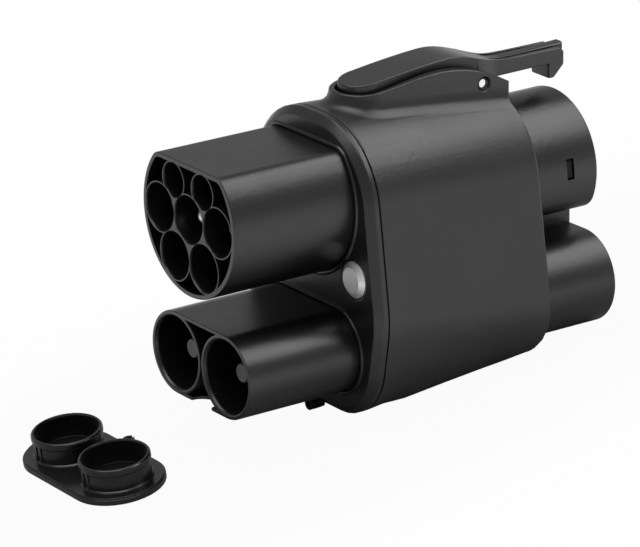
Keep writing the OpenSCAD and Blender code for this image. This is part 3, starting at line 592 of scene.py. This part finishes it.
COPPER = BareMetal("rolled_copper", (0.78, 0.36, 0.20), 0.30, tarnish=(0.35, 0.16, 0.09))
STEEL = BareMetal("zinc_plate", (0.60, 0.61, 0.62), 0.32, tarnish=(0.38, 0.37, 0.35))
PIVOT = BareMetal("ground_steel", (0.92, 0.92, 0.93), 0.16, tarnish=(0.75, 0.75, 0.75), mark_height=0.002)
BUTTON = TurnedMetal("spun_metal", (0.94, 0.94, 0.95), 0.38)


@dataclass(frozen=True)
class Rounding:
    """Edges of a moulded piece that are rounded alike.

    Attributes:
        radius: Width of the rounding, in millimetres.
        corner: Smallest angle between two faces that counts as an edge, in degrees.
        rows: Number of faces across the rounding.
        where: Test of an edge's middle in the adapter's own millimetres, or None for every edge.
        held_back: Whether the whole rounding shrinks until no two rounded edges meet.
    """

    radius: float
    corner: float
    rows: int
    where: Callable[[Vector], bool] | None = None
    held_back: bool = False


@dataclass
class MouldedPiece:
    """A piece that takes its form from a CAD node and adds the real one's rounded edges.

    Attributes:
        node: The CAD node's name.
        name: The piece's own name.
        finish: What its surface is like.
        body: The body that it rides on.
        roundings: Which edges are rounded, in order.
        smooth_angle: Angle from which an edge is shaded sharp, in degrees.
        flat_angle: Angle up to which two faces are taken as one, in degrees.
        weld: Distance up to which two corners are taken as one, in millimetres.
        normal_weight: How strongly the large faces pull the shading, in percent.
    """

    node: str
    name: str
    finish: Finish
    body: str
    roundings: Sequence[Rounding]
    smooth_angle: float = 30.0
    flat_angle: float = 0.6
    weld: float = 0.002
    normal_weight: int = 90

    def build(self) -> bpy.types.Object:
        """Copies the node's form, rounds its edges, dresses it and hides the node.

        Returns:
            The finished piece.
        """
        mesh = frame["nodes"][self.node].data.copy()
        mesh.name = self.name
        work = bmesh.new()
        work.from_mesh(mesh)
        bmesh.ops.remove_doubles(work, verts=work.verts, dist=self.weld * MM)
        flat = math.radians(self.flat_angle)
        bmesh.ops.dissolve_limit(work, angle_limit=flat, verts=work.verts, edges=work.edges)
        for rounding in self.roundings:
            self.round_edges(work, rounding)
        self.mark_smooth(work)
        work.to_mesh(mesh)
        work.free()
        if mesh.attributes.get("custom_normal"):
            mesh.attributes.remove(mesh.attributes["custom_normal"])
        mesh.materials.clear()
        mesh.materials.append(self.finish.material())
        piece = put(self.name, mesh)
        even = piece.modifiers.new("even_normals", "WEIGHTED_NORMAL")
        even.mode = "FACE_AREA"
        even.weight = self.normal_weight
        even.keep_sharp = True
        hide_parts(self.node)
        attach(piece, self.body)
        LOG.info("%s: %d faces from %s", self.name, len(mesh.polygons), self.node)
        return piece

    def round_edges(self, work: bmesh.types.BMesh, rounding: Rounding) -> None:
        """Rounds the sharp edges that a rounding names.

        Args:
            work: The mesh being built.
            rounding: Which edges, and how wide.
        """
        inverse = PlugFrame().matrix().inverted()
        corner = math.radians(rounding.corner)
        chosen = []
        for edge in work.edges:
            if len(edge.link_faces) != 2 or edge.calc_face_angle(0.0) < corner:
                continue
            middle = inverse @ ((edge.verts[0].co + edge.verts[1].co) / 2)
            if rounding.where is None or rounding.where(middle):
                chosen.append(edge)
        if chosen:
            bmesh.ops.bevel(
                work,
                geom=chosen,
                offset=rounding.radius * MM,
                offset_type="OFFSET",
                segments=rounding.rows,
                profile=0.5,
                affect="EDGES",
                clamp_overlap=rounding.held_back,
                loop_slide=True,
            )

    def mark_smooth(self, work: bmesh.types.BMesh) -> None:
        """Shades the piece smooth, apart from its corners."""
        limit = math.radians(self.smooth_angle)
        for face in work.faces:
            face.smooth = True
        for edge in work.edges:
            edge.smooth = len(edge.link_faces) == 2 and edge.calc_face_angle(0.0) < limit


def put(name: str, data: bpy.types.ID) -> bpy.types.Object:
    """Makes an object of a mesh, lamp or camera and puts it in the scene.

    Args:
        name: The object's name.
        data: Its mesh, lamp or camera.

    Returns:
        The object.
    """
    made = bpy.data.objects.new(name, data)
    bpy.context.scene.collection.objects.link(made)
    return made


def dress(nodes: Sequence[str], finish: Finish) -> None:
    """Gives CAD nodes a finish in place of their plain colour.

    Args:
        nodes: The nodes' names.
        finish: The finish for all of them.
    """
    for name in nodes:
        piece = frame["nodes"][name]
        piece.data.materials.clear()
        piece.data.materials.append(finish.material())
        LOG.info("%s: %s", name, finish.name)


@dataclass
class Sockets:
    """The two front sockets with their pins and noses, in the adapter's own millimetres.

    Attributes:
        rim: Rounding of both mouths.
        tube_rim: Rounding of the power socket's tubes.
        rim_depth: Depth behind the power socket's mouth down to which its edges are rounded.
        rim_radius: Distance from the earth tube from which an edge is on the shroud's outside.
        rim_flat: Height from which an edge is on the shroud's flat top.
        body: The body that they ride on.
        pins: Nodes of the metal pins.
        noses: Nodes of the insulating noses.
    """

    rim: float = 0.35
    tube_rim: float = 0.2
    rim_depth: float = 0.3
    rim_radius: float = 24.4
    rim_flat: float = 17.3
    body: str = "adapter"
    pins: Sequence[str] = (
        "earth_pin",
        "line_pin",
        "neutral_pin",
        "pilot_pin",
        "proximity_pin",
        "dc_plus_pin",
        "dc_minus_pin",
    )
    noses: Sequence[str] = ("line_pin_nose", "neutral_pin_nose", "dc_plus_nose", "dc_minus_nose")

    def build(self) -> None:
        """Builds both shells and dresses the pins."""
        mouth = Rounding(self.rim, corner=50.0, rows=2, where=self.on_power_rim)
        tubes = Rounding(self.tube_rim, corner=40.0, rows=1, where=self.inside_power_rim, held_back=True)
        MouldedPiece("ac_socket", "power_socket_shell", SOCKET, self.body, (mouth, tubes)).build()
        low_mouth = Rounding(self.rim, corner=50.0, rows=2)
        MouldedPiece("dc_socket", "high_voltage_shell", SOCKET, self.body, (low_mouth,)).build()
        dress(self.pins, CONTACT)
        dress(self.noses, NOSE)

    def on_power_rim(self, at: Vector) -> bool:
        """Whether a point lies on the outer edge of the power socket's mouth."""
        outside = math.hypot(at.x, at.z) > self.rim_radius or at.z > self.rim_flat
        return at.y < self.rim_depth and outside

    def inside_power_rim(self, at: Vector) -> bool:
        """Whether a point lies on the tubes' rims, inside the power socket's mouth."""
        return at.y < self.rim_depth and not self.on_power_rim(at)


@dataclass
class Body:
    """Front cover, seal, housing and rear plug, in the adapter's own millimetres.

    Attributes:
        cover_edge: Rounding of the cover's outside.
        housing_edge: Rounding of the housing's seams.
        tower_edge: Rounding of the wall round the lever.
        rear_edge: Rounding of the rear plug's end.
        cover_rear: Where the cover's rounding stops, ahead of its back.
        lug_top: Height under which the strap's lug keeps its own edges.
        tower_foot: Height from which the wall round the lever is rounded.
        seam_top: Height under which the housing's seams are rounded.
        rear_wall: Start and end, along the housing, of the rear wall's inside, which stays sharp.
        rear_rim: Where the rear plug's end begins.
        body: The body that they ride on.
    """

    cover_edge: float = 0.35
    housing_edge: float = 0.45
    tower_edge: float = 0.7
    rear_edge: float = 0.7
    cover_rear: float = 47.5
    lug_top: float = -66.0
    tower_foot: float = 20.0
    seam_top: float = 14.0
    rear_wall: tuple[float, float] = (106.0, 111.0)
    rear_rim: float = 138.0
    body: str = "adapter"

    def build(self) -> None:
        """Builds the shells that make the adapter's outside."""
        cover = (Rounding(self.cover_edge, corner=34.0, rows=2, where=self.on_cover),)
        MouldedPiece("front_cover", "cover_moulding", COVER, self.body, cover, smooth_angle=26.0).build()
        tower = Rounding(self.tower_edge, corner=38.0, rows=3, where=self.on_tower)
        seams = Rounding(self.housing_edge, corner=38.0, rows=2, where=self.on_seams)
        MouldedPiece("main_housing", "housing_moulding", HOUSING, self.body, (tower, seams)).build()
        rear = (Rounding(self.rear_edge, corner=50.0, rows=3, where=self.on_rear_rim),)
        MouldedPiece("rear_plug_shell", "rear_plug_moulding", REAR, self.body, rear).build()
        dress(("cover_seal",), SEAL)

    def on_cover(self, at: Vector) -> bool:
        """Whether a point lies on the cover's outside and off the strap's lug."""
        return at.y < self.cover_rear and at.z > self.lug_top

    def on_tower(self, at: Vector) -> bool:
        """Whether a point lies on the wall round the lever."""
        return at.y < self.rear_wall[0] and at.z > self.tower_foot

    def on_seams(self, at: Vector) -> bool:
        """Whether a point lies low on the housing and off the inside of its rear wall."""
        inside = self.rear_wall[0] <= at.y <= self.rear_wall[1]
        return at.z < self.seam_top and not inside

    def on_rear_rim(self, at: Vector) -> bool:
        """Whether a point lies at the rear plug's end."""
        return at.y > self.rear_rim


@dataclass
class Controls:
    """Latch lever, its pivot and spring, and the push button, in the adapter's own millimetres.

    Attributes:
        lever_edge: Rounding of the lever.
        lever_neck: Start and end, along the lever, of the narrow stretch that keeps its own edges.
        button_edge: Rounding of the button's rim.
    """

    lever_edge: float = 0.6
    lever_neck: tuple[float, float] = (104.0, 120.0)
    button_edge: float = 0.12

    def build(self) -> None:
        """Builds what the hand moves."""
        lever = (Rounding(self.lever_edge, corner=40.0, rows=3, where=self.off_neck),)
        MouldedPiece("latch_lever", "lever_moulding", LEVER, "lever", lever).build()
        low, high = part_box("push_button")
        centre = (low + high) / 2
        turned = replace(BUTTON, centre=(centre.x, centre.z))
        rim = (Rounding(self.button_edge, corner=30.0, rows=2),)
        MouldedPiece("push_button", "button_turning", turned, "button", rim).build()
        dress(("pivot_pin",), PIVOT)
        dress(("latch_spring", "button_spring"), STEEL)
        dress(("button_switch",), SHADED_CARRIER)

    def off_neck(self, at: Vector) -> bool:
        """Whether a point lies on the lever ahead of its neck or on the arm behind it."""
        return at.y < self.lever_neck[0] or at.y > self.lever_neck[1]


@dataclass
class Inside:
    """What the housing hides, and the contacts in the rear plug."""

    carriers: Sequence[str] = ("rear_ac_carrier", "rear_dc_carrier")
    contacts: Sequence[str] = (
        "rear_power_contacts",
        "rear_signal_contacts",
        "dc_plus_contact",
        "dc_minus_contact",
    )
    bars: Sequence[str] = ("dc_plus_bar", "dc_minus_bar")
    screws: Sequence[str] = ("flange_screws", "board_screws", "rear_screws")

    def build(self) -> None:
        """Dresses the inner pieces."""
        # The carriers get the painted shade finish, which darkens the tongue in the rear plug's window.
        dress(self.carriers, SHADED_CARRIER)
        dress(self.contacts, CONTACT)
        dress(self.bars, COPPER)
        dress(("link_board",), BOARD)
        dress(self.screws, STEEL)


@dataclass
class DustCap:
    """The loose rubber cap on the table, in the adapter's own millimetres.

    Attributes:
        edge: Rounding of the cap.
        clip_x: Place across of the small clip, which keeps its own edges.
        clip_half: Half the width kept for the clip.
        clip_y: Where the clip begins, along the adapter.
        body: The body that the cap rides on.
    """

    edge: float = 0.12
    clip_x: float = -23.9
    clip_half: float = 3.0
    clip_y: float = -11.0
    body: str = "adapter"

    def build(self) -> None:
        """Builds the cap."""
        edges = (Rounding(self.edge, corner=40.0, rows=2, where=self.off_clip),)
        MouldedPiece("dust_cap", "cap_moulding", CAP, self.body, edges, smooth_angle=22.0).build()

    def off_clip(self, at: Vector) -> bool:
        """Whether a point lies off the clip."""
        return at.y < self.clip_y or abs(at.x - self.clip_x) > self.clip_half


def direction(azimuth: float, elevation: float) -> Vector:
    """Unit vector from the adapter towards a lamp or the camera, in the row frame.

    Args:
        azimuth: Direction on the table in degrees, where 0 is -Y, 90 is +X and 180 is +Y.
        elevation: Height above the horizon, in degrees.

    Returns:
        The unit vector.
    """
    az, el = math.radians(azimuth), math.radians(elevation)
    return Vector((math.sin(az) * math.cos(el), -math.cos(az) * math.cos(el), math.sin(el)))


@dataclass(frozen=True)
class Lamp:
    """A soft rectangular lamp that faces the adapter.

    Attributes:
        name: The lamp's name.
        azimuth: Its direction on the table, in degrees.
        elevation: Its height above the horizon, in degrees.
        size: Its width and height, in metres.
        glow: How brightly its face shines, in watts per square metre and steradian.
        distance: Its distance from the adapter, in metres.
    """

    name: str
    azimuth: float
    elevation: float
    size: tuple[float, float]
    glow: float
    distance: float = 1.15

    def hang(self, target: Vector) -> None:
        """Hangs the lamp so that it faces a point.

        Args:
            target: The point, in the row frame.
        """
        away = direction(self.azimuth, self.elevation)
        data = bpy.data.lights.new(self.name, "AREA")
        data.shape = "RECTANGLE"
        data.size, data.size_y = self.size
        data.energy = self.glow * math.pi * self.size[0] * self.size[1]
        lamp = put(self.name, data)
        lamp.location = target + away * self.distance
        lamp.rotation_mode = "QUATERNION"
        lamp.rotation_quaternion = (-away).to_track_quat("-Z", "Y")


@dataclass
class Studio:
    """Pale floor, soft lamps and the camera at the photograph's angle.

    The roll tips the picture, because the adapter was photographed along its own axis.

    Attributes:
        azimuth: The camera's direction on the table, in degrees.
        elevation: The camera's height above the horizon, in degrees.
        roll: The camera's turn about its own line of sight, in degrees.
        distance: The camera's distance from the target, in metres.
        lens: Its focal length, in millimetres.
        sensor: Its sensor's width, in millimetres.
        clip: Nearest and farthest thing it sees, in metres.
        target: The point that the camera and the lamps face, in metres.
        lamps: A wide lamp behind on the right, and a larger, weaker one above.
        floor_size: The floor's width, in metres.
        floor_white: How much of the floor's own white the camera sees, the rest being lit paper.
        painted_shadow_tone: Tone of the paper under the adapter, darker than further out: a painted shadow.
        far_tone: Tone of the paper further out.
        far_mirrored: How much of the floor's own white the adapter mirrors further out; near the adapter it
            fades, a painted shadow in the reflections.
        painted_shadow_size: Half widths along X and Y of the ellipse of painted shadow under the adapter, in
            metres.
        painted_shadow_fade: Where the painted shadow begins and ends to fade, as shares of its half widths.
        sky_low: Brightness of the surroundings at the horizon.
        sky_high: Brightness of the surroundings above.
        sky_fade: Heights between which one becomes the other, where 1 is straight up.
    """

    azimuth: float = 57.679
    elevation: float = 24.227
    roll: float = -8.211
    distance: float = 1.36018
    lens: float = 253.125
    sensor: float = 36.0
    clip: tuple[float, float] = (0.05, 20.0)
    target: Vector = field(default_factory=lambda: Vector((0.03323, -0.02070, 0.05758)))
    lamps: Sequence[Lamp] = (
        Lamp("key_lamp", azimuth=160.0, elevation=42.0, size=(1.2, 0.5), glow=3.2),
        Lamp("top_lamp", azimuth=-60.0, elevation=84.0, size=(1.1, 1.1), glow=2.3),
    )
    floor_size: float = 6.0
    floor_white: float = 0.95
    painted_shadow_tone: float = 0.35
    far_tone: float = 0.95
    far_mirrored: float = 0.7
    painted_shadow_size: tuple[float, float] = (0.05, 0.14)
    painted_shadow_fade: tuple[float, float] = (1.0, 2.7)
    sky_low: float = 0.42
    sky_high: float = 0.25
    sky_fade: tuple[float, float] = (0.25, 0.7)

    def build(self) -> None:
        """Makes the floor, the lamps, the world and the camera."""
        self.floor()
        for lamp in self.lamps:
            lamp.hang(self.target)
        self.world()
        self.camera()
        bpy.context.scene.view_settings.view_transform = "Standard"

    def camera(self) -> None:
        """Places the camera on the line through the target."""
        back = direction(self.azimuth, self.elevation)
        right = Vector((0, 0, 1)).cross(back).normalized()
        upright = Matrix((right, back.cross(right), back)).transposed()
        turned = upright @ Matrix.Rotation(math.radians(self.roll), 3, "Z")
        data = bpy.data.cameras.new("studio_camera")
        data.lens, data.sensor_width = self.lens, self.sensor
        data.clip_start, data.clip_end = self.clip
        camera = put("studio_camera", data)
        camera.matrix_world = Matrix.Translation(self.target + back * self.distance) @ turned.to_4x4()
        bpy.context.scene.camera = camera

    def floor(self) -> None:
        """Lays a pale floor under the adapter."""
        half = self.floor_size / 2
        mesh = bpy.data.meshes.new("studio_floor")
        corners = [(-half, -half, 0), (half, -half, 0), (half, half, 0), (-half, half, 0)]
        mesh.from_pydata(corners, [], [(0, 1, 2, 3)])
        mesh.materials.append(self.paper())
        put("studio_floor", mesh)

    def paper(self) -> bpy.types.Material:
        """Draws the floor's paper: nearly white to the camera, with a painted shadow under the adapter for
        everything else.

        Returns:
            The material.
        """
        paint = bpy.data.materials.new("floor_paper_painted_shadow")
        sheet = blank_sheet(paint)
        # away is 0 in the painted shadow under the adapter: there the paper is painted darker and mirrors
        # less white.
        away = self.outside_painted_shadow(sheet)
        painted_shadow_colour, far = ((tone, tone, tone) for tone in (self.painted_shadow_tone, self.far_tone))
        paper = sheet.add("ShaderNodeBsdfDiffuse", {"Color": sheet.tint(away, painted_shadow_colour, far)})
        white = sheet.add("ShaderNodeEmission", {"Color": (1, 1, 1, 1), "Strength": 1.0})
        ray = sheet.add("ShaderNodeLightPath").outputs
        mirrors = sheet.calc("ADD", ray["Is Glossy Ray"], ray["Is Transmission Ray"])
        # The mirrored white fades under the adapter, so its reflections show the painted shadow.
        mirrored = sheet.calc("MULTIPLY", mirrors, sheet.calc("MULTIPLY", away, self.far_mirrored))
        seen = sheet.calc("MULTIPLY", ray["Is Camera Ray"], self.floor_white)
        blend = sheet.add("ShaderNodeMixShader")
        sheet.feed(blend.inputs[0], sheet.calc("ADD", seen, mirrored, clamp=True))
        sheet.feed(blend.inputs[1], paper.outputs[0])
        sheet.feed(blend.inputs[2], white.outputs[0])
        sheet.end(blend.outputs[0])
        return paint

    def outside_painted_shadow(self, sheet: Sheet) -> bpy.types.NodeSocket:
        """Mask of the floor that is 0 in the ellipse of painted shadow under the adapter and rises to 1
        further out.

        Args:
            sheet: The floor material's sheet.

        Returns:
            The mask's socket.
        """
        axes = sheet.axes("Object")
        across = sheet.calc("DIVIDE", axes["X"], self.painted_shadow_size[0])
        along = sheet.calc("DIVIDE", axes["Y"], self.painted_shadow_size[1])
        return sheet.ramp(sheet.length(across, along), self.painted_shadow_fade)

    def world(self) -> None:
        """Makes the surroundings mid-grey at the horizon and darker above."""
        world = bpy.context.scene.world or bpy.data.worlds.new("studio")
        bpy.context.scene.world = world
        sheet = blank_sheet(world)
        height = sheet.axes("Generated")["Z"]
        strength = sheet.ramp(height, self.sky_fade, (self.sky_low, self.sky_high))
        sky = sheet.add("ShaderNodeBackground", {"Color": (1, 1, 1, 1), "Strength": strength})
        sheet.end(sky.outputs[0], "ShaderNodeOutputWorld")


def main() -> None:
    """Builds every piece in order."""
    logging.basicConfig(level=logging.INFO, format="%(message)s")
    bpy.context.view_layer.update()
    for part in (Sockets(), Body(), Controls(), Inside(), DustCap(), Studio()):
        part.build()
        LOG.info("%s built", type(part).__name__)


if __name__ == "__main__":
    main()
